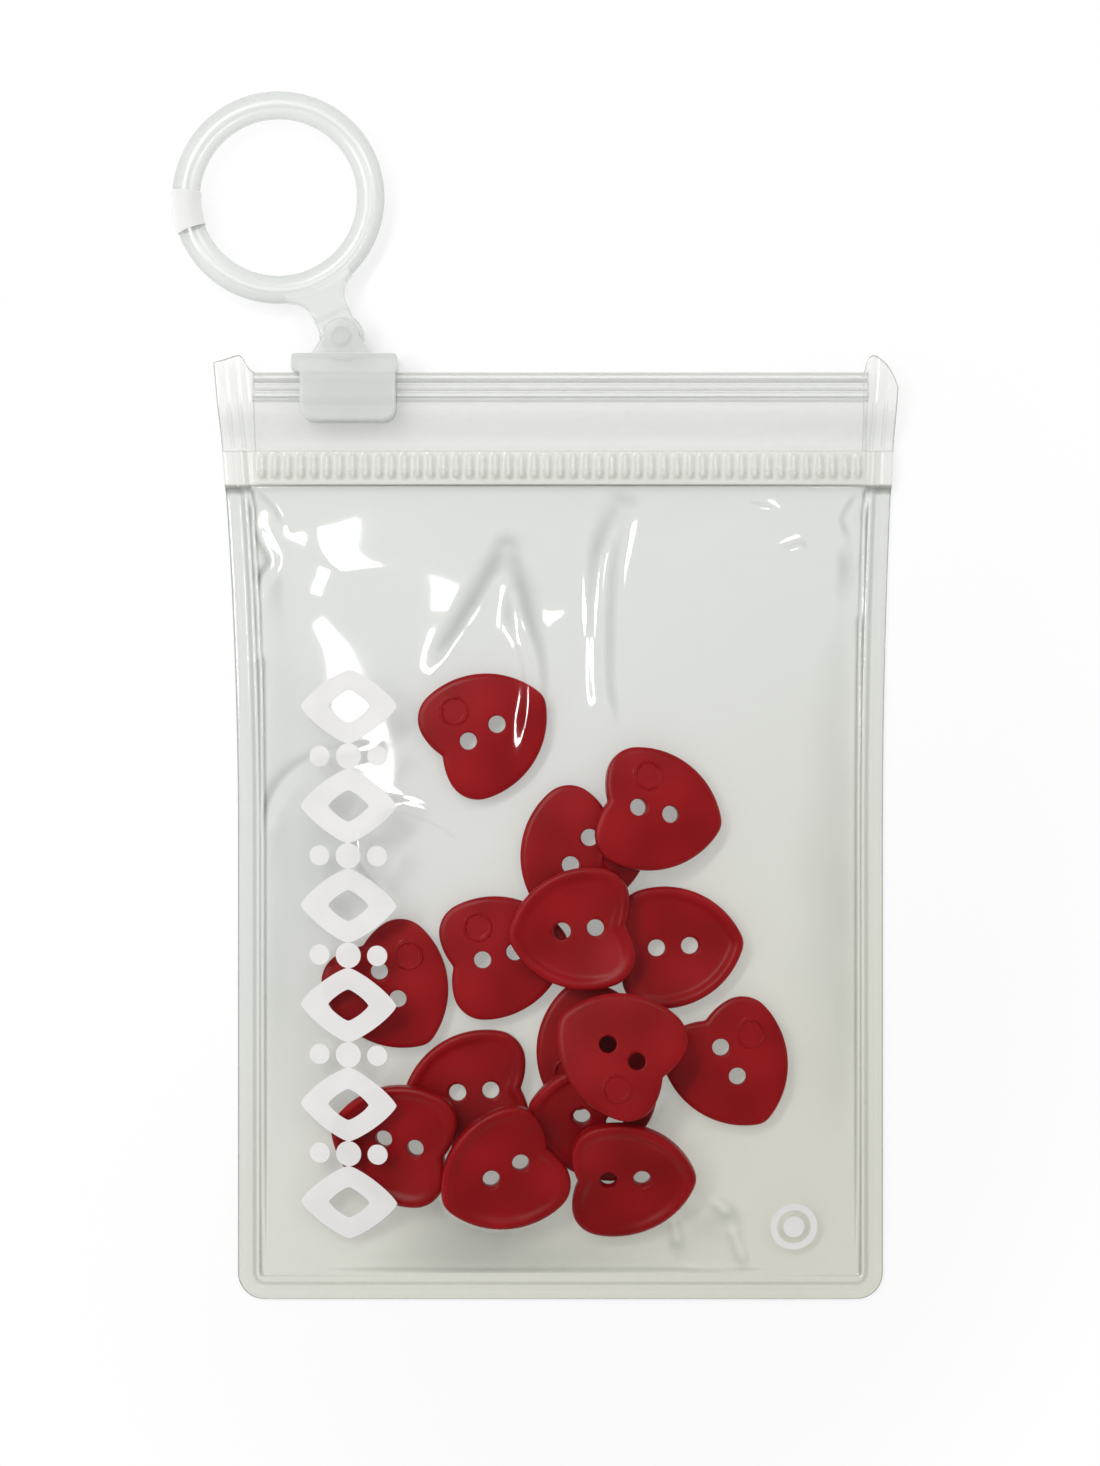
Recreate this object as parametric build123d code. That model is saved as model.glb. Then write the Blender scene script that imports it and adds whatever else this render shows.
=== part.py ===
from build123d import *
import os
from math import cos, radians, sin, sqrt

os.makedirs("parts", exist_ok=True)

# A clear soft vinyl pouch with a slider zip and a pull ring, holding heart-shaped buttons.
# It lies on its back at Z 0, with the zip towards +Y. All sizes are in mm.

# Pouch outline
pouch_length = 114.3  # bottom edge to the top of the zip rails
bottom_width = 79.8
flare_left = 2.9  # how far each side has spread outwards at the zip
flare_right = 1.9
flare_start = 0.0  # Y where the sides begin to spread
corner_radius = 3.3
film_thickness = 0.3

# Welded edge
side_weld_width = 3.3
bottom_weld_width = 2.2
weld_bead_inset = 1.6  # outer edge to the raised bead
weld_bead_width = 0.7
weld_bead_height = 0.25
pocket_corner_radius = 2.2

# Front film, lifted by the buttons under it
heap_layers = 3
film_slack = 1.6  # over the highest buttons
shoulder_layers = 2
shoulder_slack = 0.7
shoulder_share = 0.5  # how much of the way in from the weld the shoulder has come
plateau_left, plateau_right = 0.2, 3.7  # beyond the outermost buttons' middles
plateau_bottom, plateau_top = 4.2, -8.5
plateau_corner_radius = 12.0

# Zip rails and the tapes that carry them
rail_end_inset = 2.1  # the pouch's bottom corner to the rails' end, along X
rail_height = 3.5  # along Y
rail_half_thickness = 1.4  # each rail's outer face from the zip's middle plane
rail_wall = 0.6
jaw_wall = 0.55
jaw_hook = 0.22
jaw_hook_height = 0.3
rail_clearance = 0.1  # between the two rails' profiles
stem_width = 0.75
arrow_width = 1.55
arrow_room = 0.3  # the arrow's point to the other rail
rail_groove_width = 0.5
rail_groove_depth = 0.15
rail_groove_inset = 1.35
tape_thickness = 0.5
tape_gap = 0.1
pad_seam = 0.02  # between the two rails' flattened ends
tape_bend_radius = 1.2
tape_bend_above_strip = 0.5  # along Y, the tapes' lower bend to the top of the weld strip
tape_drop_length = 2.35  # along Y, where the tapes come down to the films

# Knurled weld strip that joins the tapes to the films
weld_strip_height = 4.2
weld_strip_below_rails = 9.4  # top of the rails to the top of the strip
tooth_pitch = 1.6
tooth_width = 0.8
tooth_height = 0.25
tooth_margin = 0.5

# Flattened rail ends, which stand up as two ears
ear_height = 2.3
ear_peak_inset = 1.6
ear_peak_width = 1.0
left_ear_shoulder = 0.9  # below the ear's peak
right_ear_shoulder = 3.2

# Slider
slider_rest = 10.9  # the rails' left end to the pivot
slider_wall = 1.2
slider_clearance = 0.15
slider_ground_gap = 0.05
bridge_height = 2.1
bridge_left, bridge_right = 6.1, 6.9  # from the pivot
bridge_rounding = 0.5
plate_left, plate_right = 5.0, 6.7
plate_overhang = 2.4  # plates below the rails
plate_corner_radius = 1.6
tower_radius = 2.2
tower_base_width = 7.2
tower_root = 0.6  # how deep the tower's cheeks run into the bridge
tower_wall = 1.2
pivot_above_bridge = 2.2
pin_radius = 1.2
pin_stand_out = 0.35

# Pull ring
ring_hole_radius = 9.7
ring_width = 3.4
ring_thickness = 3.0
ring_hole_land = 1.4  # straight part of the hole's wall
ring_crest_share = 0.47  # where the section is thickest, from the hole outwards
ring_distance = 18.9  # pivot to the ring's centre
ring_lean = 24.4  # degrees to the left at rest
tongue_thickness = 2.0
tongue_radius = 2.75
tongue_side_clearance = 0.12
pin_clearance = 0.06
neck_width = 4.5
neck_thickness = 2.6
neck_blend_radius = 3.0
neck_step = 3.0  # pivot to where the neck takes its full thickness

# Tape wrapped round the ring
wrap_thickness = 0.15
wrap_start, wrap_angle = 176.0, 24.0  # degrees about the ring's centre, in the resting pose

# Heart-shaped buttons, all alike
button_length = 15.25
lobe_spacing = 7.1  # makes the heart 15.0 wide
button_thickness = 2.2
lobe_radius = 3.8
tip_radius = 2.35
flank_radius = 10.5
notch_depth = 0.86
notch_rounding = 0.5
back_crown = 0.3
front_bevel = 0.3
rim_width = 1.1
dish_depth = 0.65
dish_radius = 7.2  # where the dish would run out if the rim didn't end it
hole_radius = 1.05
hole_spacing = 4.1
hole_shift = 1.05  # middle of the two holes, towards the notch
button_gap = 0.05  # under the lowest buttons

# Where each button lies: its middle to the right of the pouch's middle and above its bottom edge, both
# in button lengths, how many buttons it lies on or leans on and how far above that thickness its
# middle is (mm), the direction of its tip, the side that is up, the direction that is lifted and its
# tilt. Angles are in degrees.
button_places = [
    (-0.57, 4.633, 0, 0.0, 30.5, "back", 0, 0),
    (0.813, 3.951, 1, -0.85, -12, "back", 205, 12),
    (0.118, 3.584, 0, 0.0, -125, "back", 0, 0),
    (0.079, 3.007, 1, 0.18, 186, "front", 20, 3),
    (0.98, 2.869, 0, 0.0, 4, "front", 0, 0),
    (-0.433, 2.81, 0, 0.0, 14, "back", 0, 0),
    (-1.351, 2.502, 0, 0.0, -56, "back", 0, 0),
    (0.262, 2.102, 0, 0.0, 108, "back", 0, 0),
    (0.433, 2.069, 2, 0.47, 149.5, "back", 265, 8),
    (1.397, 1.879, 0, 0.0, -60, "back", 0, 0),
    (-0.767, 1.689, 0, 0.0, 184, "front", 0, 0),
    (-1.364, 1.302, 1, -0.92, 165.5, "front", 38, 13),
    (-0.498, 1.046, 2, -1.19, 209, "front", 120, 12),
    (0.59, 1.007, 2, -2.09, 1, "front", 95, 20),
    (0.236, 1.492, 1, -0.47, 170, "front", 87, 14),
]

# Places that follow from the sizes above
bottom_y = -pouch_length / 2
rail_top = pouch_length / 2
rail_bottom = rail_top - rail_height
ear_top = rail_top + ear_height
half_width = bottom_width / 2
rail_half_length = half_width - rail_end_inset
strip_top = rail_top - weld_strip_below_rails
strip_bottom = strip_top - weld_strip_height
tapes_thickness = 2 * tape_thickness + tape_gap
strip_middle_z = film_thickness + tapes_thickness / 2
strip_z = film_thickness + tapes_thickness
flange_z = 2 * film_thickness
slider_half_thickness = rail_half_thickness + slider_clearance + slider_wall
zip_z = slider_half_thickness + slider_ground_gap
bridge_bottom = rail_top + slider_clearance
bridge_top = bridge_bottom + bridge_height
plate_bottom = rail_bottom - plate_overhang
pivot = Vector(slider_rest - rail_half_length, bridge_top + pivot_above_bridge, zip_z)
ring_outer_radius = ring_hole_radius + ring_width
film_top = flange_z + heap_layers * button_thickness + film_slack
shoulder_z = flange_z + shoulder_layers * button_thickness + shoulder_slack
far = 2 * pouch_length  # past every side


def outline(lowest, highest):
    """The pouch's outline between two heights, with its sides spreading towards the zip."""
    far_left, far_right = -half_width - flare_left, half_width + flare_right
    with BuildSketch() as shape:
        with BuildLine():
            Line((-half_width, bottom_y), (half_width, bottom_y))
            Line((half_width, bottom_y), (half_width, flare_start))
            TangentArc((half_width, flare_start), (far_right, ear_top), tangent=(0, 1))
            Line((far_right, ear_top), (far_left, ear_top))
            TangentArc((-half_width, flare_start), (far_left, ear_top), tangent=(0, 1))
            Line((-half_width, flare_start), (-half_width, bottom_y))
        make_face()
        fillet(shape.vertices().group_by(Axis.Y)[0], corner_radius)
        with Locations((0, (lowest + highest) / 2)):
            Rectangle(far, highest - lowest, mode=Mode.INTERSECT)
    return shape.sketch


def rounded_box(left, right, low, high, radius):
    """A rounded rectangle given by its four sides."""
    middle = Pos((left + right) / 2, (low + high) / 2)
    return middle * RectangleRounded(right - left, high - low, radius)


def bulge(inset):
    """The closed form under the front film, with every face moved in by the inset."""
    left, right = -half_width + side_weld_width, half_width - side_weld_width
    low, high = bottom_y + bottom_weld_width, strip_bottom
    across = [place[0] * button_length for place in button_places]
    up = [bottom_y + place[1] * button_length for place in button_places]
    levels = [
        (flange_z, 0.0, pocket_corner_radius),
        (shoulder_z, shoulder_share, (pocket_corner_radius + plateau_corner_radius) / 2),
        (film_top, 1.0, plateau_corner_radius),
    ]
    sections = []
    for height, way, radius in levels:
        section = rounded_box(
            left + (min(across) - plateau_left - left) * way + inset,
            right + (max(across) + plateau_right - right) * way - inset,
            low + (min(up) - plateau_bottom - low) * way + inset,
            high + (max(up) + plateau_top - high) * way - inset,
            radius - inset,
        )
        level = height - inset if way else height
        sections.append(Pos(0, 0, level) * section)
    skirt = extrude(sections[0], amount=-film_thickness)
    return loft(sections) + skirt


def make_back_film():
    """The flat back sheet, from the bottom edge to the top of the weld strip."""
    return extrude(outline(bottom_y, strip_top), amount=film_thickness)


def make_front_film():
    """The front sheet: welded edge with its bead, bulge, and the knurled strip over the tapes."""
    edge = Pos(0, 0, film_thickness) * extrude(outline(bottom_y, strip_bottom), amount=film_thickness)
    bead_end = weld_bead_inset + weld_bead_width
    outer = offset(outline(bottom_y, strip_bottom), -weld_bead_inset)
    inner = offset(outline(bottom_y, strip_bottom), -bead_end)
    line = outer - inner - Pos(0, strip_bottom) * Rectangle(far, 2 * bead_end)
    bead = Pos(0, 0, flange_z) * extrude(line, amount=weld_bead_height)
    step_depth = film_thickness
    step_sketch = outline(strip_bottom - step_depth, strip_bottom)
    step = Pos(0, 0, film_thickness) * extrude(step_sketch, amount=strip_z)
    strip_sketch = outline(strip_bottom - step_depth, strip_top)
    strip = Pos(0, 0, strip_z) * extrude(strip_sketch, amount=film_thickness)
    film = edge + bead + step + strip + bulge(0) - bulge(film_thickness)
    tooth_count = int(2 * rail_half_length / tooth_pitch)
    tooth_length = weld_strip_height - 2 * tooth_margin
    middle = Pos(0, (strip_bottom + strip_top) / 2, strip_z + film_thickness)
    teeth = GridLocations(tooth_pitch, 0, tooth_count, 1) * Rectangle(tooth_width, tooth_length)
    return film + middle * extrude(Sketch() + teeth, amount=tooth_height)


def section_box(y_low, y_high, z_low, z_high):
    """A rectangle in the zip's section, its heights counted from the zip's middle plane."""
    middle = Pos((y_low + y_high) / 2, zip_z + (z_low + z_high) / 2)
    return middle * Rectangle(y_high - y_low, z_high - z_low)


def along_zip(section, left, right):
    """A section drawn across the zip, drawn out along it."""
    return Pos(left, 0, 0) * extrude(Plane.YZ * section, amount=right - left)


def band_pair(top, gap):
    """The sections of the back and front bands that come down from the zip to the films."""
    path = FilletPolyline(
        (top, zip_z),
        (strip_top + tape_bend_above_strip + tape_drop_length, zip_z),
        (strip_top + tape_bend_above_strip, strip_middle_z),
        (strip_bottom, strip_middle_z),
        radius=tape_bend_radius,
    )
    both = trace(path, tapes_thickness) - trace(path, gap)
    return both.faces().sort_by(Axis.Y)


def end_pads(side):
    """The flattened ends of the two rails on one side, standing up as an ear."""
    wide = half_width + max(flare_left, flare_right)
    shoulder = ear_top - (left_ear_shoulder if side < 0 else right_ear_shoulder)
    peak = rail_half_length + ear_peak_inset
    ear = make_face(
        Polyline(
            (side * rail_half_length, strip_bottom),
            (side * rail_half_length, rail_top),
            (side * peak, ear_top),
            (side * (peak + ear_peak_width), ear_top),
            (side * wide, shoulder),
            (side * wide, strip_bottom),
            close=True,
        )
    )
    column = extrude(outline(strip_bottom, ear_top) & ear, amount=2 * zip_z)
    low, high = sorted((side * rail_half_length, side * wide))
    return [along_zip(band, low, high) & column for band in band_pair(ear_top, pad_seam)]


def make_rails():
    """The back and front zip rails, each one extrusion with its tape and flattened ends."""
    seat = rail_half_thickness - rail_wall
    jaw_tip = seat - rail_clearance
    jaws_bottom = rail_bottom + tape_thickness + rail_clearance
    jaws_middle = (jaws_bottom + rail_top) / 2

    back = section_box(jaws_bottom, rail_top, -rail_half_thickness, -seat)
    for root, way in ((jaws_bottom, 1), (rail_top, -1)):
        wall = sorted((root, root + way * jaw_wall))
        hook = sorted((root, root + way * (jaw_wall + jaw_hook)))
        back += section_box(*wall, -seat, jaw_tip)
        back += section_box(*hook, jaw_tip - jaw_hook_height, jaw_tip)

    arrow_top = jaw_tip - jaw_hook_height - rail_clearance
    arrow_point = arrow_room - seat
    stem = stem_width / 2
    front = section_box(rail_bottom, rail_top, seat, rail_half_thickness)
    front += section_box(rail_bottom, rail_bottom + tape_thickness, tape_gap / 2, seat)
    front += section_box(jaws_middle - stem, jaws_middle + stem, arrow_top, seat)
    front += make_face(
        Polyline(
            (jaws_middle - arrow_width / 2, zip_z + arrow_top),
            (jaws_middle + arrow_width / 2, zip_z + arrow_top),
            (jaws_middle + stem, zip_z + arrow_point),
            (jaws_middle - stem, zip_z + arrow_point),
            close=True,
        )
    )
    groove = rail_top - rail_groove_inset
    groove_floor = rail_half_thickness - rail_groove_depth
    front -= section_box(groove - rail_groove_width, groove, groove_floor, rail_half_thickness)
    back -= section_box(groove - rail_groove_width, groove, -rail_half_thickness, -groove_floor)

    back_tape, front_tape = band_pair(rail_bottom + tape_thickness, tape_gap)
    back_tape += section_box(rail_bottom, jaws_bottom, -tape_thickness - tape_gap / 2, -tape_gap / 2)
    left_pads, right_pads = end_pads(-1), end_pads(1)
    rails = []
    for number, profile in enumerate((back + back_tape, front + front_tape)):
        rail = along_zip(profile, -rail_half_length, rail_half_length)
        rails.append(rail + left_pads[number] + right_pads[number])
    return rails


def make_slider():
    """One moulding: two plates over the rails, the bridge, and the tower with its pivot pin."""
    left, right = pivot.X - bridge_left, pivot.X + bridge_right
    half = slider_half_thickness
    room = rail_half_thickness + slider_clearance
    slot = tapes_thickness / 2 + slider_clearance
    block = section_box(plate_bottom, bridge_top, -half, half)
    channel = section_box(rail_bottom - slider_clearance, bridge_bottom, -room, room)
    channel += section_box(plate_bottom, rail_bottom, -slot, slot)
    plates = rounded_box(
        pivot.X - plate_left, pivot.X + plate_right, plate_bottom, bridge_top, plate_corner_radius
    )
    bridge = rounded_box(left, right, bridge_bottom - slider_clearance, bridge_top, bridge_rounding)
    shape = along_zip(block - channel, left, right) & extrude(plates + bridge, amount=2 * zip_z)

    slope = Polyline(
        (pivot.X - tower_base_width / 2, bridge_top - tower_root),
        (pivot.X - tower_base_width / 2, bridge_top),
        (pivot.X - tower_radius, pivot.Y),
        (pivot.X + tower_radius, pivot.Y),
        (pivot.X + tower_base_width / 2, bridge_top),
        (pivot.X + tower_base_width / 2, bridge_top - tower_root),
        close=True,
    )
    cheek = make_face(slope) + Pos(pivot.X, pivot.Y) * Circle(tower_radius)
    inside = tongue_thickness / 2 + tongue_side_clearance
    for side in (-1, 1):
        low = min(side * inside, side * (inside + tower_wall))
        shape += Pos(0, 0, zip_z + low) * extrude(cheek, amount=tower_wall)
    pocket = Cylinder(tongue_radius + slider_clearance, 2 * inside)
    pin = Cylinder(pin_radius, 2 * (inside + tower_wall + pin_stand_out))
    return shape - Pos(pivot) * pocket + Pos(pivot) * pin


def ring_section(grow=0.0):
    """The ring's section: straight at the hole, with one round swell outside it."""
    land = (ring_hole_radius - grow, ring_hole_land / 2)
    crest = (ring_hole_radius + ring_width * ring_crest_share, ring_thickness / 2 + grow)
    upper = Curve() + [
        TangentArc(crest, land, tangent=(-1, 0)),
        TangentArc(crest, (ring_outer_radius + grow, 0), tangent=(1, 0)),
    ]
    lower = mirror(upper, about=Plane.XZ)
    return make_face(upper + lower + Line((land[0], -land[1]), land))


def make_pull_ring():
    """The ring, its neck and the flat tongue that turns on the pin, leaning as it lies at rest."""
    centre = Pos(0, ring_distance)
    ring = centre * revolve(Plane.XZ * ring_section(), Axis.Z)
    bar = Pos(0, ring_distance / 2) * Rectangle(neck_width, ring_distance)
    flat = bar + centre * Circle(ring_outer_radius)
    meeting = ring_distance - sqrt(ring_outer_radius**2 - neck_width**2 / 4)
    corners = [flat.vertices().sort_by_distance((side * neck_width / 2, meeting))[0] for side in (-1, 1)]
    flat = fillet(corners, neck_blend_radius)
    # The blends end where they touch the ring's outer edge
    reach = neck_width / 2 + neck_blend_radius
    touch = reach * ring_outer_radius / (ring_outer_radius + neck_blend_radius)
    flat &= Pos(0, ring_distance / 2) * Rectangle(2 * touch, ring_distance)
    flat -= centre * Circle(ring_hole_radius + ring_width / 2)
    thick = flat & Pos(0, neck_step + ring_distance / 2) * Rectangle(far, ring_distance)
    neck = extrude(thick, amount=neck_thickness / 2, both=True)
    tongue = (flat & bar) + Circle(tongue_radius)
    tongue = extrude(tongue, amount=tongue_thickness / 2, both=True)
    eye = Cylinder(pin_radius + pin_clearance, 2 * tongue_thickness)
    shape = ring + neck + tongue - eye
    return Pos(pivot) * Rot(0, 0, ring_lean) * shape


def make_ring_wrap():
    """A short strip of thin tape, once round the ring's section."""
    sleeve = revolve(Plane.XZ * ring_section(wrap_thickness), Axis.Z, wrap_angle)
    wrap = sleeve - revolve(Plane.XZ * ring_section(), Axis.Z)
    turn = Rot(0, 0, wrap_start - ring_lean)
    return Pos(pivot) * Rot(0, 0, ring_lean) * Pos(0, ring_distance) * turn * wrap


def heart_outline():
    """A heart with its tip towards +X: round lobes, gently bowed flanks and a rounded tip."""
    back, front = -button_length / 2, button_length / 2
    lobe = Vector(back + lobe_radius, lobe_spacing / 2)
    tip = Vector(front - tip_radius, 0)
    # The flank's arc goes round both the lobe's and the tip's circles, and touches each
    between = tip - lobe
    to_lobe, to_tip = flank_radius - lobe_radius, flank_radius - tip_radius
    along = (to_lobe**2 - to_tip**2 + between.length**2) / (2 * between.length)
    across = sqrt(to_lobe**2 - along**2)
    unit = between.normalized()
    flank = lobe + unit * along + Vector(unit.Y, -unit.X) * across
    to_lobe_end = (lobe - flank).normalized() * flank_radius
    to_tip_start = (tip - flank).normalized() * flank_radius
    flank_middle = flank + (to_lobe_end + to_tip_start).normalized() * flank_radius
    notch = Vector(back + notch_depth, 0)
    lobe_start = Vector(back, lobe.Y)
    lobe_end = flank + to_lobe_end
    tip_start = flank + to_tip_start
    tip_end = Vector(front, 0)
    tip_middle = tip + (tip_start + tip_end - 2 * tip).normalized() * tip_radius
    with BuildSketch() as shape:
        with BuildLine():
            TangentArc(lobe_start, notch, tangent=(0, -1))
            TangentArc(lobe_start, lobe_end, tangent=(0, 1))
            ThreePointArc(lobe_end, flank_middle, tip_start)
            ThreePointArc(tip_start, tip_middle, tip_end)
            mirror(about=Plane.XZ)
        make_face()
        fillet(shape.vertices().sort_by_distance(notch)[0], notch_rounding)
    return shape.sketch


def make_button():
    """A heart-shaped button, front up: a raised rim, a dished face and two thread holes."""
    half = button_thickness / 2
    heart = heart_outline()
    crown_radius = (button_length / 2) ** 2 / (2 * back_crown)
    button = Pos(0, 0, -half) * extrude(heart, amount=button_thickness)
    button &= Pos(0, 0, crown_radius - half) * Sphere(crown_radius)
    button = chamfer(button.edges().group_by(Axis.Z)[-1], front_bevel)
    face = extrude(offset(heart, -rim_width), amount=button_thickness)
    dish_ball = (dish_radius**2 + dish_depth**2) / (2 * dish_depth)
    button -= face & Pos(0, 0, half - dish_depth + dish_ball) * Sphere(dish_ball)
    for side in (-1, 1):
        button -= Pos(side * hole_spacing / 2 - hole_shift, 0) * Cylinder(hole_radius, 2 * button_thickness)
    return button


def place_button(button, place):
    """The button as it lies in the pouch."""
    across, up, layer, rise, heading, side, lifted, tilt = place
    level = film_thickness + button_gap + button_thickness / 2 + layer * button_thickness + rise
    if side == "back":
        button = Rot(180, 0, 0) * button
    button = Rot(0, 0, heading) * button
    axis = Axis((0, 0, 0), (sin(radians(lifted)), -cos(radians(lifted)), 0))
    return Pos(across * button_length, bottom_y + up * button_length, level) * button.rotate(axis, tilt)


rail_back, rail_front = make_rails()
pieces = {
    "back_film": make_back_film(),
    "front_film": make_front_film(),
    "zip_rail_back": rail_back,
    "zip_rail_front": rail_front,
    "slider": make_slider(),
    "pull_ring": make_pull_ring(),
    "ring_wrap": make_ring_wrap(),
}
heart_button = make_button()
for number, place in enumerate(button_places, start=1):
    pieces[f"heart_button_{number:02d}"] = place_button(heart_button, place)

for name, shape in pieces.items():
    export_step(shape, f"parts/{name}.step")
    print(name, round(shape.volume, 2))
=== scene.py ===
import math

import bpy
import numpy as np
from mathutils import Matrix, Vector


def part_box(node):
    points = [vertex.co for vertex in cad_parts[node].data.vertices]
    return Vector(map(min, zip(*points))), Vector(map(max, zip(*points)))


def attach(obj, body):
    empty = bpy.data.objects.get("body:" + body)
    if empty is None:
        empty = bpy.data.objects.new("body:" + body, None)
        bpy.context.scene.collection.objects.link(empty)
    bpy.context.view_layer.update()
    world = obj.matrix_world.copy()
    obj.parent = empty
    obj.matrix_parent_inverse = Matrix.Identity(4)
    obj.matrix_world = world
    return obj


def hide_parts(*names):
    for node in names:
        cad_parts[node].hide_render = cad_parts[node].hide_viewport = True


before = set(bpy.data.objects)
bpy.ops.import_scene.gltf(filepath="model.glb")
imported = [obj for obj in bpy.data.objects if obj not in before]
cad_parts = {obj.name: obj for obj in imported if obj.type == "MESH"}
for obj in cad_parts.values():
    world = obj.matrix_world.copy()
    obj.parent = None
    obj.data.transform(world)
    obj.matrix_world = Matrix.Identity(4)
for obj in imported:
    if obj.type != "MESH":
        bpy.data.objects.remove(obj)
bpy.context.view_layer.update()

# A clear vinyl slider pouch, lying on its back, full of red heart-shaped buttons.
# Shapes are worked out in millimetres and scaled to metres when a mesh is made.
mm = 0.001
scene = bpy.context.scene
scene.view_settings.view_transform = "Standard"


def boxMm(nodeName):
    low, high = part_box(nodeName)
    return np.array(low) / mm, np.array(high) / mm


def addNode(tree, kind, values=None, **settings):
    made = tree.nodes.new(kind)
    for key, value in settings.items():
        setattr(made, key, value)
    for key, value in (values or {}).items():
        if isinstance(value, bpy.types.NodeSocket):
            tree.links.new(value, made.inputs[key])
        else:
            made.inputs[key].default_value = value
    return made


def mathNode(tree, operation, *values, **settings):
    made = addNode(tree, "ShaderNodeMath", dict(enumerate(values)), operation=operation, **settings)
    return made.outputs[0]


def mapRange(tree, values, **settings):
    return addNode(tree, "ShaderNodeMapRange", values, **settings).outputs["Result"]


def mixColours(tree, factor, first, second):
    values = {"Factor": factor, "A": first, "B": second}
    return addNode(tree, "ShaderNodeMix", values, data_type="RGBA").outputs["Result"]


def mixShaders(tree, factor, first, second):
    return addNode(tree, "ShaderNodeMixShader", {0: factor, 1: first, 2: second}).outputs[0]


def objectPlace(tree):
    return addNode(tree, "ShaderNodeTexCoord").outputs["Object"]


def newMaterial(name):
    made = bpy.data.materials.new(name)
    made.use_nodes = True
    made.node_tree.nodes.clear()
    return made, made.node_tree


def meshPiece(name, points, faces, material):
    mesh = bpy.data.meshes.new(name)
    mesh.from_pydata((np.asarray(points, float) * mm).tolist(), [], faces)
    mesh.materials.append(material)
    mesh.shade_smooth()
    mesh.update()
    piece = bpy.data.objects.new(name, mesh)
    scene.collection.objects.link(piece)
    return piece


def ringFaces(ringCount, around):
    # Quads between each closed ring of points and the next
    faces = []
    for ring in range(ringCount - 1):
        for i in range(around):
            a, b = ring * around + i, ring * around + (i + 1) % around
            faces.append((a, b, b + around, a + around))
    return faces


def tubeFaces(ringCount, around):
    # The same, with both ends closed
    firstRing = tuple(range(around))
    lastRing = tuple(range((ringCount - 1) * around, ringCount * around))
    return ringFaces(ringCount, around) + [firstRing[::-1], lastRing]


def ridge(distance, height, place, width):
    # A rounded line across a surface, high at the place and falling away on both sides
    return height * np.exp(-0.5 * ((distance - place) / width) ** 2)


# Shared surface effects

grainShare = 0.25


def makeSurfaceGroup():
    # Fine unevenness of moulded or rolled plastic: a roughness that varies, and a height for bump
    group = bpy.data.node_groups.new("plasticSurface", "ShaderNodeTree")
    face = group.interface
    for name, value in (("Grain Size", 400.0), ("Roughness", 0.3), ("Variation", 0.1), ("Ripple", 60.0)):
        face.new_socket(name, in_out="INPUT", socket_type="NodeSocketFloat").default_value = value
    face.new_socket("Roughness", in_out="OUTPUT", socket_type="NodeSocketFloat")
    face.new_socket("Height", in_out="OUTPUT", socket_type="NodeSocketFloat")
    face.new_socket("Cloud", in_out="OUTPUT", socket_type="NodeSocketFloat")
    given = addNode(group, "NodeGroupInput").outputs
    where = objectPlace(group)
    grainScale = {"Vector": where, "Scale": given["Grain Size"], "Detail": 1.0}
    rippleScale = {"Vector": where, "Scale": given["Ripple"], "Detail": 0.0}
    grain = addNode(group, "ShaderNodeTexNoise", grainScale).outputs["Fac"]
    ripple = addNode(group, "ShaderNodeTexNoise", rippleScale).outputs["Fac"]
    swing = mathNode(group, "SUBTRACT", ripple, 0.5)
    amount = mathNode(group, "MULTIPLY", swing, given["Variation"])
    ends = addNode(group, "NodeGroupOutput")
    group.links.new(mathNode(group, "ADD", given["Roughness"], amount), ends.inputs["Roughness"])
    group.links.new(mathNode(group, "MULTIPLY_ADD", grain, grainShare, ripple), ends.inputs["Height"])
    group.links.new(ripple, ends.inputs["Cloud"])
    return group


surfaceGroup = makeSurfaceGroup()


def placeSurface(tree, look):
    values = {"Grain Size": look["grain"], "Roughness": look["roughness"], "Variation": look["variation"],
              "Ripple": look["ripple"]}
    return addNode(tree, "ShaderNodeGroup", values, node_tree=surfaceGroup).outputs


def slopeMask(tree, full, none):
    # 1 at one place of the pouch and 0 at another, both as (x, y) in mm
    full, none = np.array(full) * mm, np.array(none) * mm
    way = full - none
    ends = {0: objectPlace(tree), 1: (way[0], way[1], 0)}
    dot = addNode(tree, "ShaderNodeVectorMath", ends, operation="DOT_PRODUCT").outputs["Value"]
    return mapRange(tree, {"Value": dot, "From Min": float(way @ none), "From Max": float(way @ full)})


def slopeShare(tree, start, end):
    # How far a face leans from lying flat, in the piece's own frame, and only for what the camera sees. It
    # masks the painted shade that darkens steep faces, creases and edges.
    normal = addNode(tree, "ShaderNodeTexCoord").outputs["Normal"]
    upright = addNode(tree, "ShaderNodeSeparateXYZ", {0: normal}).outputs["Z"]
    lean = mathNode(tree, "SUBTRACT", 1.0, mathNode(tree, "ABSOLUTE", upright))
    seen = addNode(tree, "ShaderNodeLightPath").outputs["Is Camera Ray"]
    return mapRange(tree, {"Value": lean, "From Min": start, "From Max": end, "To Max": seen})


def mirrorShare(tree, gain, atFace):
    # How much of the gloss shows: little when seen square on, most at a grazing angle
    facing = addNode(tree, "ShaderNodeLayerWeight", {"Blend": 0.5}).outputs["Facing"]
    return mathNode(tree, "MULTIPLY_ADD", mathNode(tree, "POWER", facing, 5.0), gain, atFace)


clearFilmLook = {
    "faceTint": (0.980, 0.983, 0.977, 1),
    "darkerTint": (0.962, 0.962, 0.940, 1),
    "steepShadeTint": (0.46, 0.48, 0.45, 1),
    "darkerAt": (30.0, -55.0),
    "lighterAt": (-10.0, 10.0),
    "steepFrom": 0.045,
    "steepTo": 0.36,
    "mirrorAtFace": 0.035,
    "mirrorGain": 0.9,
    "grain": 900.0,
    "roughness": 0.07,
    "variation": 0.04,
    "ripple": 90.0,
}


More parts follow.
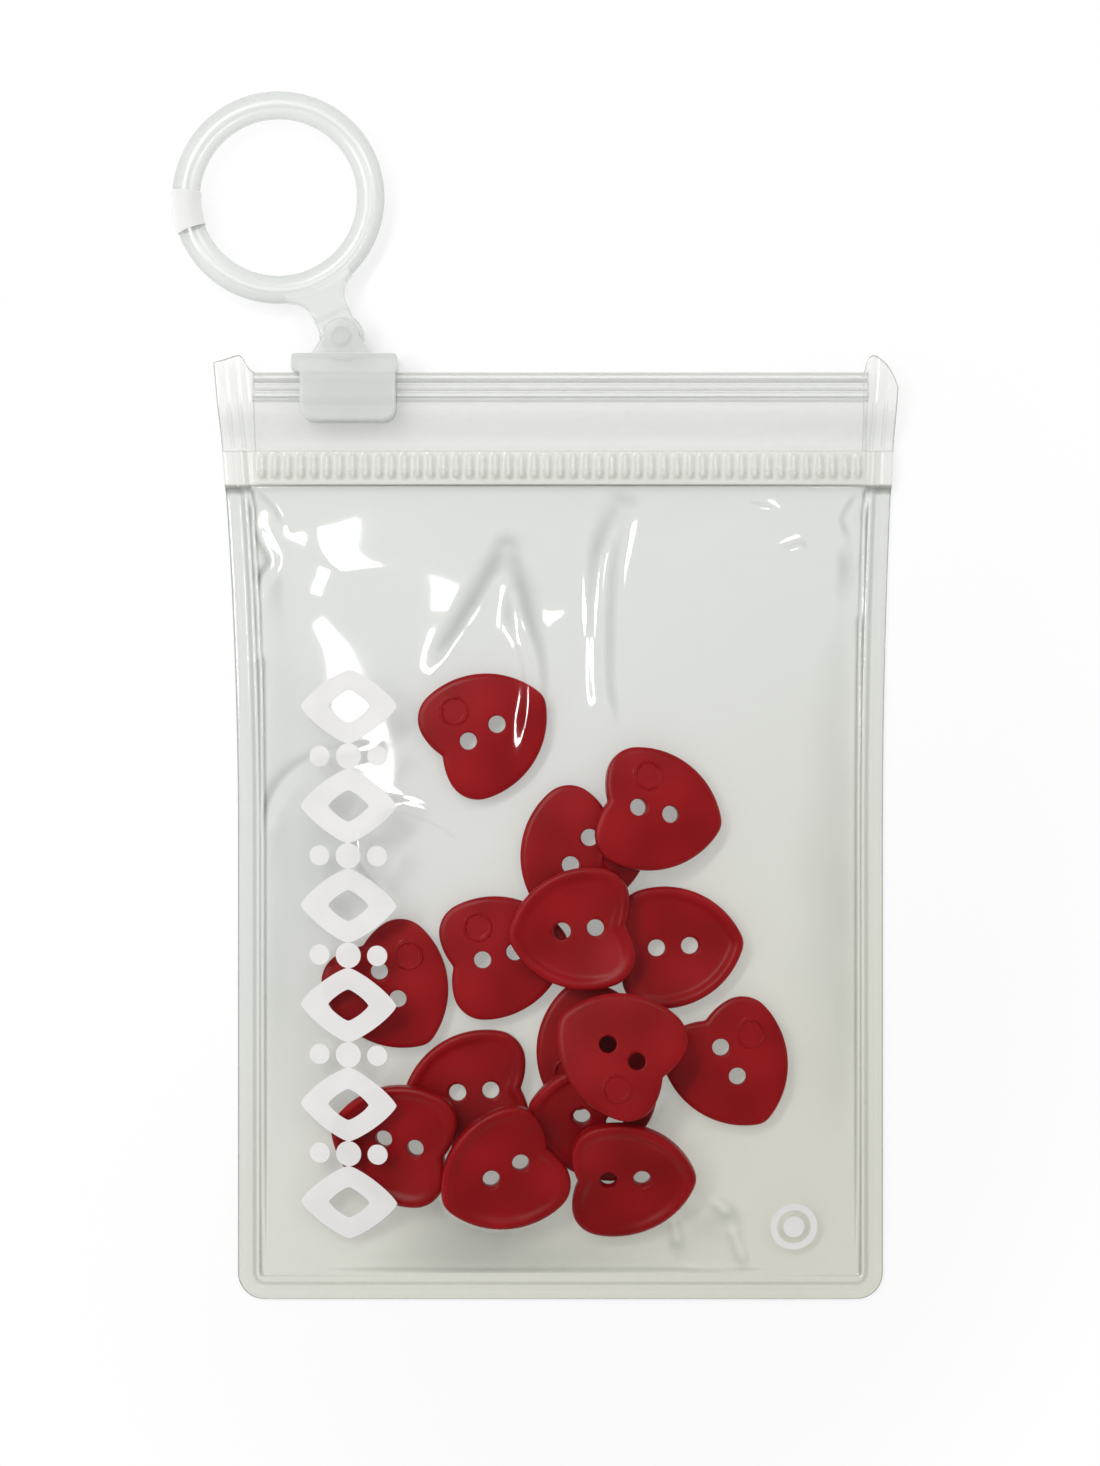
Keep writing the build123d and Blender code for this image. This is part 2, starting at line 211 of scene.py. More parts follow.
def makeClearFilm():
    look = clearFilmLook
    made, tree = newMaterial("clearFilm")
    surface = placeSurface(tree, look)
    steepShade = slopeShare(tree, look["steepFrom"], look["steepTo"])
    # The film is tinted darker and yellower towards the lower right of the pouch
    darkerShare = slopeMask(tree, look["darkerAt"], look["lighterAt"])
    face = mixColours(tree, darkerShare, look["faceTint"], look["darkerTint"])
    # Painted shade: steep faces, creases and weld edges are tinted darker, for the camera only
    tint = mixColours(tree, steepShade, face, look["steepShadeTint"])
    mirror = mirrorShare(tree, look["mirrorGain"], look["mirrorAtFace"])
    through = addNode(tree, "ShaderNodeBsdfTransparent", {"Color": tint}).outputs[0]
    shine = {"Color": (1, 1, 1, 1), "Roughness": surface["Roughness"]}
    gloss = addNode(tree, "ShaderNodeBsdfGlossy", shine).outputs[0]
    addNode(tree, "ShaderNodeOutputMaterial", {"Surface": mixShaders(tree, mirror, through, gloss)})
    return made


milkySurface = {"steepFrom": 0.04, "steepTo": 0.5, "mirrorGain": 0.6, "bumpDistance": 0.0003}


def makeMilkyPlastic(name, look):
    # Clouded plastic that lets some of what is behind it show, with a clear gloss over it
    made, tree = newMaterial(name)
    surface = placeSurface(tree, look)
    uneven = {}
    if look["bump"]:
        bumps = {"Height": surface["Height"], "Strength": look["bump"],
                 "Distance": milkySurface["bumpDistance"]}
        uneven["Normal"] = addNode(tree, "ShaderNodeBump", bumps).outputs["Normal"]
    colour = mixColours(tree, surface["Cloud"], look["dark"], look["pale"])
    body = addNode(tree, "ShaderNodeBsdfDiffuse", {"Color": colour, **uneven}).outputs[0]
    # Painted shade: steep faces are tinted darker and made more solid, for the camera only
    steepShade = slopeShare(tree, milkySurface["steepFrom"], milkySurface["steepTo"])
    tint = mixColours(tree, steepShade, look["through"], look["throughSteepShade"])
    through = addNode(tree, "ShaderNodeBsdfTransparent", {"Color": tint}).outputs[0]
    solid = mathNode(tree, "MULTIPLY_ADD", steepShade, look["edgeGain"], look["solidity"], use_clamp=True)
    # The ring's painted highlight: its crest is made more solid and pale
    if "highlightRadius" in look:
        solid = mathNode(tree, "MAXIMUM", solid, ringHighlightLine(tree, look))
    base = mixShaders(tree, solid, through, body)
    shine = {"Color": (1, 1, 1, 1), "Roughness": surface["Roughness"], **uneven}
    gloss = addNode(tree, "ShaderNodeBsdfGlossy", shine).outputs[0]
    mirror = mirrorShare(tree, milkySurface["mirrorGain"], look["gloss"])
    addNode(tree, "ShaderNodeOutputMaterial", {"Surface": mixShaders(tree, mirror, base, gloss)})
    return made


def ringHighlightLine(tree, look):
    # A painted highlight: a pale line along the crest of the ring, where a lamp's reflection runs on its
    # round section
    centre = (look["highlightX"] * mm, look["highlightY"] * mm, 0)
    where = {0: objectPlace(tree), 1: (1, 1, 0)}
    flat = addNode(tree, "ShaderNodeVectorMath", where, operation="MULTIPLY").outputs[0]
    far = addNode(tree, "ShaderNodeVectorMath", {0: flat, 1: centre}, operation="DISTANCE").outputs["Value"]
    size = mathNode(tree, "ABSOLUTE", mathNode(tree, "SUBTRACT", far, look["highlightRadius"] * mm))
    return mapRange(tree, {"Value": size, "From Min": 0.0, "From Max": look["highlightWidth"] * mm,
                           "To Min": look["highlightShare"], "To Max": 0.0})


zipVinylLook = {
    "grain": 700.0, "roughness": 0.16, "variation": 0.08, "ripple": 70.0, "bump": 0, "gloss": 0.02,
    "dark": (0.95, 0.955, 0.93, 1), "pale": (0.99, 0.99, 0.97, 1), "through": (0.998, 0.999, 0.995, 1),
    "throughSteepShade": (0.5, 0.52, 0.49, 1), "solidity": 0.11, "edgeGain": 0.1,
}
knurlVinylLook = {
    **zipVinylLook, "dark": (0.95, 0.95, 0.90, 1), "pale": (0.99, 0.99, 0.95, 1),
    "throughSteepShade": (0.72, 0.73, 0.68, 1), "solidity": 0.3,
}
frostedPlasticLook = {
    "grain": 900.0, "roughness": 0.32, "variation": 0.1, "ripple": 110.0, "bump": 0.15, "gloss": 0.03,
    "dark": (0.81, 0.825, 0.81, 1), "pale": (0.87, 0.885, 0.87, 1), "through": (0.965, 0.975, 0.965, 1),
    "throughSteepShade": (0.78, 0.80, 0.78, 1), "solidity": 0.46, "edgeGain": 0.25,
}
ringPlasticLook = {
    **frostedPlasticLook, "roughness": 0.2, "solidity": 0.3, "highlightX": -34.708, "highlightY": 78.812,
    "highlightRadius": 11.5, "highlightWidth": 0.42, "highlightShare": 1.0,
}
whiteTapeLook = {
    "grain": 1400.0, "roughness": 0.5, "variation": 0.15, "ripple": 260.0, "bump": 0.3, "gloss": 0.02,
    "dark": (0.86, 0.86, 0.84, 1), "pale": (0.92, 0.92, 0.90, 1), "through": (1, 1, 1, 1),
    "throughSteepShade": (0.85, 0.85, 0.84, 1), "solidity": 0.8, "edgeGain": 0.2,
}
whitePrintLook = {
    "grain": 1800.0, "roughness": 0.42, "variation": 0.1, "ripple": 320.0, "bump": 0.1, "gloss": 0.01,
    "dark": (0.74, 0.73, 0.72, 1), "pale": (0.80, 0.79, 0.78, 1), "through": (1, 1, 1, 1),
    "throughSteepShade": (1, 1, 1, 1), "solidity": 0.93, "edgeGain": 0.0,
}
redResinLook = {
    "dark": (0.21, 0.0, 0.002, 1),
    "bright": (0.44, 0.0, 0.005, 1),
    "grain": 1100.0,
    "roughness": 0.36,
    "variation": 0.14,
    "ripple": 160.0,
    "bump": 0.22,
    "bumpDistance": 0.0002,
    "specular": 0.28,
}


def makeRedResin():
    look = redResinLook
    made, tree = newMaterial("redResin")
    surface = placeSurface(tree, look)
    bumps = {"Height": surface["Height"], "Strength": look["bump"], "Distance": look["bumpDistance"]}
    bump = addNode(tree, "ShaderNodeBump", bumps).outputs["Normal"]
    colour = mixColours(tree, surface["Cloud"], look["dark"], look["bright"])
    body = addNode(tree, "ShaderNodeBsdfPrincipled", {
        "Base Color": colour, "Roughness": surface["Roughness"], "Normal": bump, "IOR": 1.5,
        "Specular IOR Level": look["specular"]})
    addNode(tree, "ShaderNodeOutputMaterial", {"Surface": body.outputs[0]})
    return made


clearFilm = makeClearFilm()
zipVinyl = makeMilkyPlastic("zipVinyl", zipVinylLook)
knurlVinyl = makeMilkyPlastic("knurlVinyl", knurlVinylLook)
frostedPlastic = makeMilkyPlastic("frostedPlastic", frostedPlasticLook)
ringPlastic = makeMilkyPlastic("ringPlastic", ringPlasticLook)
whiteTape = makeMilkyPlastic("whiteTape", whiteTapeLook)
whitePrint = makeMilkyPlastic("whitePrint", whitePrintLook)
redResin = makeRedResin()
print("materials made")


# Heart-shaped buttons

heart = {
    "length": 15.25, "lobeSpacing": 7.1, "thickness": 2.2, "lobeRadius": 3.8, "tipRadius": 2.35,
    "flankRadius": 10.5, "notchDepth": 0.86, "notchSoftness": 2.2,
    "rimCrest": 0.6, "rimFoot": 1.75, "rimHeight": 0.34, "dishDepth": 0.52, "dishReach": 6.9,
    "wallTop": 0.62, "wallBottom": -0.4, "backEdge": 0.75, "backRounding": 0.8,
    "holeRadius": 1.05, "holeSpacing": 4.1, "holeShift": 1.05, "holeRounding": 0.22,
    "markRadius": 1.65, "markWire": 0.13, "markAlong": -2.7, "markAcross": -4.1,
    "around": 200, "meanRadius": 7.3, "wallSwell": 1.004,
}

# x, y, height of the middle, heading of the tip, side up, direction lifted, tilt
buttonPlaces = [
    (-8.69, 13.5, 1.45, 30.5, "back", 0, 0),
    (12.4, 3.1, 2.8, -12, "back", 205, 12),
    (1.8, -2.5, 1.45, -125, "back", 0, 0),
    (1.2, -11.3, 3.83, 186, "front", 20, 3),
    (14.95, -13.4, 1.45, 4, "front", 0, 0),
    (-6.6, -14.3, 1.45, 14, "back", 0, 0),
    (-20.6, -19.0, 1.45, -56, "back", 0, 0),
    (4.0, -25.1, 1.45, 108, "back", 0, 0),
    (6.6, -25.6, 6.32, 149.5, "back", 265, 8),
    (21.3, -28.5, 1.45, -60, "back", 0, 0),
    (-11.7, -31.4, 1.45, 184, "front", 0, 0),
    (-20.8, -37.3, 2.73, 165.5, "front", 38, 13),
    (-7.6, -41.2, 4.66, 209, "front", 120, 12),
    (9.0, -41.8, 3.76, 1, "front", 95, 20),
    (3.6, -34.4, 3.18, 170, "front", 87, 14),
]


def arcPoints(centre, radius, start, end, count):
    turn = np.linspace(start, end, count)
    return np.stack([centre[0] + radius * np.cos(turn), centre[1] + radius * np.sin(turn)], 1)


def headingTo(start, end):
    across = end - start
    return math.atan2(across[1], across[0])


def heartOutline():
    # Half of the heart from notch to tip, as four arcs that touch, then mirrored
    h = heart
    back, front = -h["length"] / 2, h["length"] / 2
    lobe = np.array([back + h["lobeRadius"], h["lobeSpacing"] / 2])
    tip = np.array([front - h["tipRadius"], 0.0])
    toLobe, toTip = h["flankRadius"] - h["lobeRadius"], h["flankRadius"] - h["tipRadius"]
    between = tip - lobe
    gap = np.linalg.norm(between)
    along = (toLobe**2 - toTip**2 + gap**2) / (2 * gap)
    across = math.sqrt(toLobe**2 - along**2)
    unit = between / gap
    flank = lobe + unit * along + np.array([unit[1], -unit[0]]) * across
    lobeEnd, tipStart = headingTo(flank, lobe), headingTo(flank, tip)
    notch = np.array([back + h["notchDepth"], 0.0])
    leftmost = np.array([back, lobe[1]])
    bow = ((notch - leftmost) ** 2).sum() / (2 * h["notchDepth"])
    bowCentre = np.array([back + bow, lobe[1]])
    half = np.concatenate([
        arcPoints(bowCentre, bow, 2 * math.pi + headingTo(bowCentre, notch), math.pi, 60)[:-1],
        arcPoints(lobe, h["lobeRadius"], math.pi, lobeEnd, 120)[:-1],
        arcPoints(flank, h["flankRadius"], lobeEnd, tipStart, 90)[:-1],
        arcPoints(tip, h["tipRadius"], tipStart, 0.0, 60),
    ])
    return np.concatenate([half, (half * (1, -1))[::-1][1:-1]])


def heartRadius(outlinePoints, angles):
    turn = np.arctan2(outlinePoints[:, 1], outlinePoints[:, 0])
    order = np.argsort(turn)
    radius = np.hypot(outlinePoints[:, 0], outlinePoints[:, 1])
    found = np.interp(angles, turn[order], radius[order], period=2 * math.pi)
    # The notch's corner is rounded a little
    softness = math.radians(heart["notchSoftness"])
    reach = np.linspace(-2, 2, 9) * softness
    weights = np.exp(-np.linspace(-2, 2, 9) ** 2)
    spread = [np.interp(angles + r, turn[order], radius[order], period=2 * math.pi) for r in reach]
    spread = np.stack(spread)
    soft = (spread * weights[:, None]).sum(0) / weights.sum()
    near = np.exp(-((np.abs(angles) - math.pi) / (2 * softness)) ** 2)
    return found + (soft - found) * near


def distanceTo(line, points):
    best = np.full(len(points), 1e9)
    for start in range(0, len(line), 64):
        part = line[start:start + 64]
        far = np.hypot(points[:, None, 0] - part[None, :, 0], points[:, None, 1] - part[None, :, 1])
        best = np.minimum(best, far.min(1))
    return best


def frontHeight(x, y, inset):
    h = heart
    top = h["thickness"] / 2
    dish = top - h["rimHeight"] - h["dishDepth"] * (1 - (x**2 + y**2) / h["dishReach"] ** 2)
    outer = 1 - np.clip(1 - inset / h["rimCrest"], 0, 1) ** 2
    edge = h["wallTop"] + (top - h["wallTop"]) * np.sqrt(np.clip(outer, 0, 1))
    fall = np.clip((inset - h["rimCrest"]) / (h["rimFoot"] - h["rimCrest"]), 0, 1)
    fall = fall**2 * (3 - 2 * fall)
    return edge + (dish - edge) * fall


def backHeight(x, y, inset):
    h = heart
    crown = 1 - (x**2 + y**2) / (h["length"] / 2) ** 2
    flat = -h["backEdge"] - (h["thickness"] / 2 - h["backEdge"]) * crown
    turn = np.sqrt(np.clip(1 - np.clip(1 - inset / h["backRounding"], 0, 1) ** 2, 0, 1))
    return h["wallBottom"] + (flat - h["wallBottom"]) * turn


def latheMesh(profile, count, centreX):
    # profile holds (radius, z) from bottom to top
    turn = np.arange(count) * 2 * math.pi / count
    points = [(centreX + r * math.cos(t), r * math.sin(t), z) for r, z in profile for t in turn]
    return points, tubeFaces(len(profile), count)


def markRing(line):
    # A thin plain ring raised on the back of each button
    h = heart
    around, section = 40, 8
    turn = np.repeat(np.arange(around) * 2 * math.pi / around, section)
    bend = np.tile(np.arange(section) * 2 * math.pi / section, around)
    reach = h["markRadius"] + h["markWire"] * np.cos(bend)
    x = h["markAlong"] + reach * np.cos(turn)
    y = h["markAcross"] + reach * np.sin(turn)
    xy = np.column_stack([x, y])
    z = backHeight(x, y, distanceTo(line, xy)) + h["markWire"] * np.sin(bend)
    faces = []
    for i in range(around):
        for j in range(section):
            a, b = i * section, (i + 1) % around * section
            k = (j + 1) % section
            faces.append((a + j, b + j, b + k, a + k))
    return meshPiece("markRing", np.column_stack([x, y, z]), faces, redResin)


def middleHeights(x):
    # The back and the front face on the button's long axis, well inside the rim
    here = np.full(1, x), np.zeros(1), np.full(1, 5.0)
    return float(backHeight(*here)[0]), float(frontHeight(*here)[0])


def makeHeartMesh():
    h = heart
    count = h["around"]
    line = heartOutline()
    turn = (np.arange(count) + 0.5) * 2 * math.pi / count - math.pi
    reach = heartRadius(line, turn)
    edge = np.stack([reach * np.cos(turn), reach * np.sin(turn)], 1)
    # Rings of points lie close together at the rim and further apart towards the middle
    insets = np.array([0.0, 0.015, 0.05, 0.11, 0.19, 0.29, 0.4, 0.52, 0.66, 0.82, 1.0, 1.2, 1.42, 1.66,
                       1.95, 2.4])
    shares = np.concatenate([1 - insets / h["meanRadius"], np.linspace(0.62, 0.06, 13)])
    rings = []
    for height in (backHeight, frontHeight):
        sideRings = []
        for share in shares:
            xy = edge * share
            inset = distanceTo(line, xy) if share < 1 else np.zeros(count)
            sideRings.append(np.column_stack([xy, height(xy[:, 0], xy[:, 1], inset)]))
        rings.append(sideRings)
    stack = rings[0][::-1]
    wall = (rings[0][0] + rings[1][0]) / 2
    wall[:, :2] *= h["wallSwell"]
    stack = stack + [wall] + rings[1]
    faces = ringFaces(len(stack), count)
    last = (len(stack) - 1) * count
    low, high = middleHeights(0.0)
    points = np.concatenate(stack + [[(0, 0, low), (0, 0, high)]])
    bottomMiddle, topMiddle = len(points) - 2, len(points) - 1
    for i in range(count):
        j = (i + 1) % count
        faces.append((bottomMiddle, j, i))
        faces.append((last + i, last + j, topMiddle))
    body = meshPiece("heartBody", points, faces, redResin)
    cutters = []
    for side in (-1, 1):
        x = side * h["holeSpacing"] / 2 - h["holeShift"]
        zLow, zHigh = middleHeights(x)
        radius, soft, past = h["holeRadius"], h["holeRounding"], 0.5
        bend = np.linspace(0, math.pi / 2, 6)
        lower = [(radius + soft * (1 - math.sin(b)), zLow - 0.01 + soft * (1 - math.cos(b))) for b in bend]
        upper = [(r, zHigh + zLow - z) for r, z in lower[::-1]]
        wide = lower[0][0]
        profile = [(wide, zLow - past)] + lower + upper + [(wide, zHigh + past)]
        cutters.append(meshPiece(f"holeCutter{side}", *latheMesh(profile, 40, x), redResin))
    for cutter in cutters:
        cut = body.modifiers.new("hole", "BOOLEAN")
        cut.operation, cut.object, cut.solver = "DIFFERENCE", cutter, "EXACT"
    mark = markRing(line)
    raised = body.modifiers.new("mark", "BOOLEAN")
    raised.operation, raised.object, raised.solver = "UNION", mark, "EXACT"
    bpy.context.view_layer.update()
    shaped = bpy.data.meshes.new_from_object(body.evaluated_get(bpy.context.evaluated_depsgraph_get()))
    for scrap in [body, mark] + cutters:
        bpy.data.objects.remove(scrap)
    shaped.name = "heartButton"
    return shaped


def placeMatrix(place):
    x, y, z, heading, side, lifted, tilt = place
    lift = math.radians(lifted)
    turned = Matrix.Rotation(math.radians(heading), 4, "Z")
    if side == "back":
        turned = turned @ Matrix.Rotation(math.pi, 4, "X")
    leaning = Matrix.Rotation(math.radians(tilt), 4, Vector((math.sin(lift), -math.cos(lift), 0)))
    return Matrix.Translation(Vector((x, y, z)) * mm) @ leaning @ turned


heartMesh = makeHeartMesh()
for number, place in enumerate(buttonPlaces, start=1):
    button = bpy.data.objects.new(f"heartButton{number:02d}", heartMesh)
    scene.collection.objects.link(button)
    button.matrix_world = placeMatrix(place)
    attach(button, "pouch")
    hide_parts(f"heart_button_{number:02d}")
print("buttons made", len(heartMesh.polygons))


# Front film: a height map relaxed over the buttons, then creased

backLow, backHigh = boxMm("back_film")
railLow, railHigh = boxMm("zip_rail_front")
pouch = {
    "bottomWidth": 79.8, "flareLeft": 2.9, "flareRight": 1.9, "cornerRadius": 3.3,
    "filmThickness": 0.3, "weldTop": 0.6, "stripTopZ": 1.7, "sideWeld": 3.3, "bottomWeld": 2.4,
    "weldBand": 3.9,
    "puff": 0.0075, "smoothing": 1.1, "buttonGap": 0.12, "buttonReach": 0.2,
    "mapSide": 44, "mapBottom": -58, "mapTop": 46, "relaxSteps": ((2.0, 500), (1.0, 500), (0.5, 500)),
    "bottomY": float(backLow[1]), "stripTop": float(backHigh[1]), "stripBottom": float(railLow[1]),
    "earTop": float(railHigh[1]),
}

# Creases in the soft film: points along each, height, half width. A negative height is a valley.
creases = [
    ([(-6.7, 35.2), (-9.0, 30.0), (-12.0, 25.0), (-14.8, 21.0)], 0.6, 1.1),
    ([(-6.7, 35.2), (-5.2, 27.5), (-3.2, 19.4), (-4.4, 9.0)], 0.75, 1.1),
    ([(7.6, 40.5), (5.4, 34.5), (4.8, 26.0), (4.9, 18.0), (6.4, 11.2)], 0.8, 1.15),
    ([(-37.3, 0.5), (-34.5, 6.6), (-29.6, 10.0), (-22.8, 10.9)], 0.3, 0.6),
    ([(-25.0, 0.8), (-20.4, 4.0), (-14.5, 2.2), (-9.0, -1.6)], 0.4, 0.7),
    ([(-25.0, 0.8), (-24.0, -3.0), (-21.0, -6.2)], 0.35, 0.7),
    ([(-36.9, 43.0), (-34.9, 41.2), (-33.6, 38.6)], 0.3, 0.5),
    ([(-38.0, 38.5), (-35.6, 34.2), (-37.6, 31.0), (-38.4, 27.0)], 0.35, 0.5),
    ([(35.8, 43.0), (34.0, 39.5), (35.0, 36.8)], 0.35, 0.6),
    ([(23.0, 40.9), (26.5, 40.2)], 0.25, 0.4),
    ([(27.0, 34.6), (30.5, 36.0)], 0.4, 0.7),
    ([(18.2, -43.6), (21.2, -46.6)], 0.35, 0.6),
    ([(13.7, -46.2), (14.6, -50.6)], 0.35, 0.55),
    ([(21.0, -47.6), (22.8, -52.8)], 0.3, 0.5),
    ([(16.0, -53.8), (23.0, -54.4), (31.0, -54.6)], 0.25, 0.45),
]


def sideX(y, side):
    # The pouch's side edge, which swings outwards towards the zip
    flare = pouch["flareLeft"] if side < 0 else pouch["flareRight"]
    bow = (pouch["earTop"] ** 2 + flare**2) / (2 * flare)
    up = np.clip(y, 0, None)
    edge = pouch["bottomWidth"] / 2 + bow - np.sqrt(bow**2 - up**2)
    low = np.clip(pouch["bottomY"] + pouch["cornerRadius"] - y, 0, pouch["cornerRadius"])
    edge = edge - (pouch["cornerRadius"] - np.sqrt(pouch["cornerRadius"] ** 2 - low**2))
    return side * edge


def edgeInset(x, y):
    # Distance inwards from the pouch's outer edge, with its rounded bottom corners
    sides = np.minimum(x - sideX(np.maximum(y, 0.0), -1), sideX(np.maximum(y, 0.0), 1) - x)
    bottom = y - pouch["bottomY"]
    r = pouch["cornerRadius"]
    corner = (sides < r) & (bottom < r)
    rounded = r - np.hypot(r - sides, r - bottom)
    return np.where(corner, rounded, np.minimum(sides, bottom))


def buttonCover(x, y):
    # Highest button surface over each point
    line = heartOutline()
    cover = np.zeros_like(x)
    for place in buttonPlaces:
        inverse = np.array(placeMatrix(place).inverted().to_3x3())
        matrix = np.array(placeMatrix(place).to_3x3())
        px, py, pz = place[:3]
        normal = matrix[:, 2] * (1 if matrix[2, 2] > 0 else -1)
        z = pz - ((x - px) * normal[0] + (y - py) * normal[1]) / normal[2]
        local = np.stack([x - px, y - py, z - pz], -1) @ inverse.T
        turn = np.arctan2(local[..., 1], local[..., 0])
        edge = heartRadius(line, turn.ravel()).reshape(x.shape)
        inside = np.hypot(local[..., 0], local[..., 1]) < edge + pouch["buttonReach"]
        top = z + heart["thickness"] / 2 / normal[2]
        cover = np.where(inside, np.maximum(cover, top), cover)
    return cover


def neighbours(padded):
    return padded[:-2, 1:-1] + padded[2:, 1:-1] + padded[1:-1, :-2] + padded[1:-1, 2:]


def blurMap(values, sigma):
    # Passes of averaging with the neighbours, near enough to a Gaussian
    for _ in range(max(1, int(round(3 * sigma**2)))):
        padded = np.pad(values, 1, mode="edge")
        values = (4 * values + neighbours(padded)) / 8
    return values


def relaxFilm():
    p = pouch
    heights = None
    for step, rounds in p["relaxSteps"]:
        gx = np.arange(-p["mapSide"], p["mapSide"] + step / 2, step)
        gy = np.arange(p["mapBottom"], p["mapTop"] + step / 2, step)
        x, y = np.meshgrid(gx, gy)
        inset = edgeInset(x, y)
        held = (inset < p["sideWeld"]) | (y < p["bottomY"] + p["bottomWeld"]) | (y > p["stripBottom"])
        nearZip = np.clip((y - p["stripBottom"] + 1) / 1, 0, 1)
        rest = p["weldTop"] + (p["stripTopZ"] - p["weldTop"]) * nearZip
        overButtons = buttonCover(x, y) + p["filmThickness"] + p["buttonGap"]
        floorMap = np.maximum(overButtons, p["weldTop"] + 0.05)
        if heights is None:
            heights = np.where(held, rest, p["weldTop"])
        else:
            rows = np.interp(gy, oldY, np.arange(len(oldY)))
            cols = np.interp(gx, oldX, np.arange(len(oldX)))
            heights = sampleMap(heights, rows[:, None] + 0 * x, cols[None, :] + 0 * x)
        for _ in range(rounds):
            heights[1:-1, 1:-1] = neighbours(heights) / 4 + p["puff"] * step**2 / 2
            heights = np.maximum(heights, floorMap)
            heights = np.where(held, rest, heights)
        oldX, oldY = gx, gy
    # The film is too stiff to follow every edge, so the tent over the buttons is softened and lifted clear
    free = np.where(held, 0.0, 1.0)
    for _ in range(3):
        smooth = blurMap(heights, p["smoothing"] / step)
        heights = heights + (smooth - heights) * free
        short = np.clip(floorMap - heights, 0, None) * free
        heights = heights + blurMap(short, 1.5) * 1.5
        heights = np.where(held, rest, np.maximum(heights, floorMap - 0.05))
    return gx, gy, heights


def sampleMap(values, rows, cols):
    r0 = np.clip(np.floor(rows).astype(int), 0, values.shape[0] - 2)
    c0 = np.clip(np.floor(cols).astype(int), 0, values.shape[1] - 2)
    fr, fc = np.clip(rows - r0, 0, 1), np.clip(cols - c0, 0, 1)
    low = values[r0, c0] * (1 - fc) + values[r0, c0 + 1] * fc
    high = values[r0 + 1, c0] * (1 - fc) + values[r0 + 1, c0 + 1] * fc
    return low * (1 - fr) + high * fr


def smoothCurve(points, spacing=0.3):
    # Catmull-Rom curve through the points, evenly enough spaced
    pts = np.array(points, float)
    pts = np.concatenate([[2 * pts[0] - pts[1]], pts, [2 * pts[-1] - pts[-2]]])
    out = []
    for a, b, c, d in zip(pts[:-3], pts[1:-2], pts[2:-1], pts[3:]):
        count = max(2, int(np.linalg.norm(c - b) / spacing))
        t = np.linspace(0, 1, count, endpoint=False)[:, None]
        square, cube = 2 * a - 5 * b + 4 * c - d, 3 * b - a - 3 * c + d
        out.append(0.5 * (2 * b + (c - a) * t + square * t**2 + cube * t**3))
    out.append(pts[-2:-1])
    return np.concatenate(out)


def creaseLift(x, y):
    lift = np.zeros(x.shape)
    flat = np.column_stack([x.ravel(), y.ravel()])
    for points, height, width in creases:
        curve = smoothCurve(points)
        near = ((flat >= curve.min(0) - 4 * width) & (flat <= curve.max(0) + 4 * width)).all(1)
        chosen = flat[near]
        far = np.hypot(chosen[:, None, 0] - curve[None, :, 0], chosen[:, None, 1] - curve[None, :, 1])
        which = far.argmin(1)
        along = which / (len(curve) - 1)
        fade = np.clip(np.minimum(along, 1 - along) * 5, 0, 1)
        add = np.zeros(len(flat))
        add[near] = height * (0.35 + 0.65 * fade) * np.exp(-0.5 * (far.min(1) / width) ** 2)
        lift += add.reshape(x.shape)
    return lift


# Soft domes and hollows: x, y, height, half width, half length
swells = [
    (-6.3, 24.8, 1.3, 5.6, 4.8),
    (-27.5, 32.0, 0.75, 6.0, 3.2),
    (33.2, 33.5, 0.5, 2.6, 2.2),
    (-25.8, -1.2, 0.5, 3.4, 3.0),
    (18.5, -45.5, 0.35, 2.4, 2.0),
]


def swellLift(x, y):
    lift = np.zeros(x.shape)
    for cx, cy, height, wide, high in swells:
        lift += height * np.exp(-0.5 * (((x - cx) / wide) ** 2 + ((y - cy) / high) ** 2))
    return lift


def wrinkles(x, y):
    # Slow unevenness that a soft sheet keeps from being folded and handled
    rng = np.random.default_rng(7)
    total = np.zeros(x.shape)
    for _ in range(26):
        angle, length = rng.uniform(0, math.pi), rng.uniform(9, 26)
        phase, size = rng.uniform(0, 2 * math.pi), rng.uniform(0.3, 1.0)
        total += size * np.sin((x * math.cos(angle) + y * math.sin(angle)) * 2 * math.pi / length + phase)
    return total * 0.018


mapX, mapY, filmMap = relaxFilm()
print("film relaxed, highest", round(float(filmMap.max()), 2))


# The welded edge's groove, bead, inner line and lip: height, distance from the edge, half width
weldLines = [(-0.17, 1.5, 0.13), (0.34, 2.45, 0.24), (-0.16, 3.15, 0.14), (-0.12, 0.0, 0.16)]


def weldRelief(inset):
    return sum(ridge(inset, *line) for line in weldLines)


def filmHeight(x, y):
    rows = (y - mapY[0]) / (mapY[1] - mapY[0])
    cols = (x - mapX[0]) / (mapX[1] - mapX[0])
    base = sampleMap(filmMap, rows, cols)
    inset = edgeInset(x, y)
    belowZip = pouch["stripBottom"] - y
    free = np.clip((inset - pouch["sideWeld"]) / 3, 0, 1) * np.clip(belowZip / 2, 0, 1)
    fromBottom = np.clip((y - pouch["bottomY"] - pouch["bottomWeld"]) / 2, 0, 1)
    free = free * fromBottom
    near = np.clip((inset - 2.8) / 1.0, 0, 1)
    lift = creaseLift(x, y) * near + (swellLift(x, y) + wrinkles(x, y)) * free
    return base + weldRelief(inset) * np.clip(belowZip / 1.5, 0, 1) + lift


